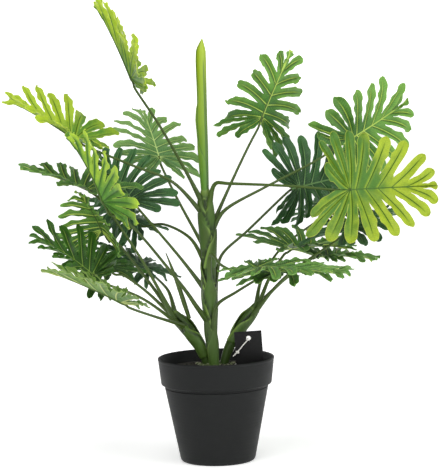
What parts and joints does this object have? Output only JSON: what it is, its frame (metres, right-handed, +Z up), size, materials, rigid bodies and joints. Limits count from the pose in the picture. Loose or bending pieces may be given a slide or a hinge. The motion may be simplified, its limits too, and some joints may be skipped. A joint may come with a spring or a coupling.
{
  "type": "potted philodendron selloum",
  "caption": "Broad-leaved aroid house plant with deeply lobed leaves on long stalks and a rolled new leaf, in a plain black nursery pot.",
  "frame": {"origin": "middle of the pot's flat base, on the floor", "axes": "+Z up along the pot's axis, -Y towards the side that the picture shows, +X to the right in the picture"},
  "size_m": [0.5379, 0.4524, 0.5979],
  "materials": {
    "black_plastic": "matte black, moulded",
    "fill_mix": "rough, dark",
    "stem_plastic": "satin green",
    "lime_leaf": "satin lime green",
    "mid_leaf": "satin mid green",
    "blue_leaf": "satin dark blue-green",
    "deep_leaf": "satin deep green",
    "light_leaf": "satin light green",
    "black_card": "matte black card",
    "white_cord": "thin white cord"
  },
  "bodies": {
    "root": {"pot": "black_plastic", "fill": "fill_mix", "centre_stem": "stem_plastic", "left_stem": "stem_plastic", "right_stem": "stem_plastic", "spear_leaf": "lime_leaf", "leaf_tall_left": "lime_leaf", "leaf_wide_left": "lime_leaf", "leaf_front_left": "lime_leaf", "leaf_big_right": "lime_leaf", "leaf_back_left": "mid_leaf", "leaf_high_right": "mid_leaf", "leaf_curled_right": "mid_leaf", "leaf_low_front": "mid_leaf", "leaf_low_right": "mid_leaf", "leaf_middle_outer": "mid_leaf", "leaf_veined_right": "mid_leaf", "leaf_thin_right": "mid_leaf", "leaf_blue_left": "blue_leaf", "leaf_grey_left": "blue_leaf", "leaf_blue_right": "blue_leaf", "leaf_upper_outer": "blue_leaf", "leaf_small_back": "blue_leaf", "leaf_shaded_right": "blue_leaf", "leaf_back_right": "blue_leaf", "leaf_deep_outer": "deep_leaf", "leaf_deep_inner": "deep_leaf", "leaf_lowest_outer": "light_leaf", "hang_tag": "black_card", "tag_string": "white_cord"}
  },
  "joints": []
}
